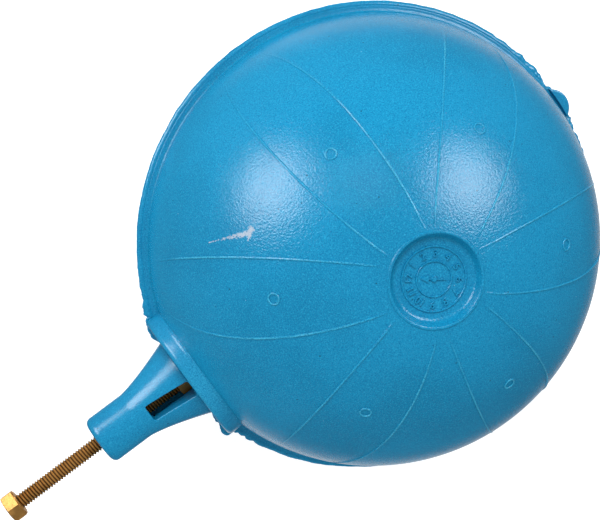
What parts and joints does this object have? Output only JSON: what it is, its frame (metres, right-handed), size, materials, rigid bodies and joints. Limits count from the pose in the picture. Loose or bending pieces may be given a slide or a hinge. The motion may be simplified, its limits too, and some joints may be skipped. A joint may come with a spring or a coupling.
{
  "type": "ball float with fixing bolt",
  "caption": "Hollow plastic ball float with a welded flange, a flared neck holding a captive nut, and a long brass hexagon-head bolt that clamps it to a float valve's lever arm.",
  "frame": {"origin": "centre of the neck's flat end, on the bolt's axis, where the valve's lever arm seats", "axes": "+X out of the ball along the bolt towards its head; +Z along the pole of the front half shell, the way the nut window faces; the weld plane is Z = 0"},
  "size_m": [0.2812, 0.193, 0.1828],
  "materials": {
    "float_plastic": "satin moulded polypropylene, cyan blue",
    "brass": "turned brass, lightly tarnished"
  },
  "bodies": {
    "float": {"front_shell": "float_plastic", "rear_shell": "float_plastic", "weld_bead": "float_plastic", "neck_socket": "float_plastic", "pocket_plug": "float_plastic"},
    "bolt": {"fixing_bolt": "brass"},
    "nut": {"captive_nut": "brass"}
  },
  "joints": [
    {"name": "bolt_turn", "type": "hinge", "parent": "float", "child": "bolt", "pos_m": [0, 0, 0], "axis": [-1, 0, 0], "range_deg": [0, 3960]},
    {"name": "nut_travel", "type": "slide", "parent": "float", "child": "nut", "axis": [1, 0, 0], "range_m": [0, 0.01397]}
  ],
  "couplings": [
    {"joint": "bolt_turn", "follows": "nut_travel", "rad_per_m": 4947.4}
  ]
}
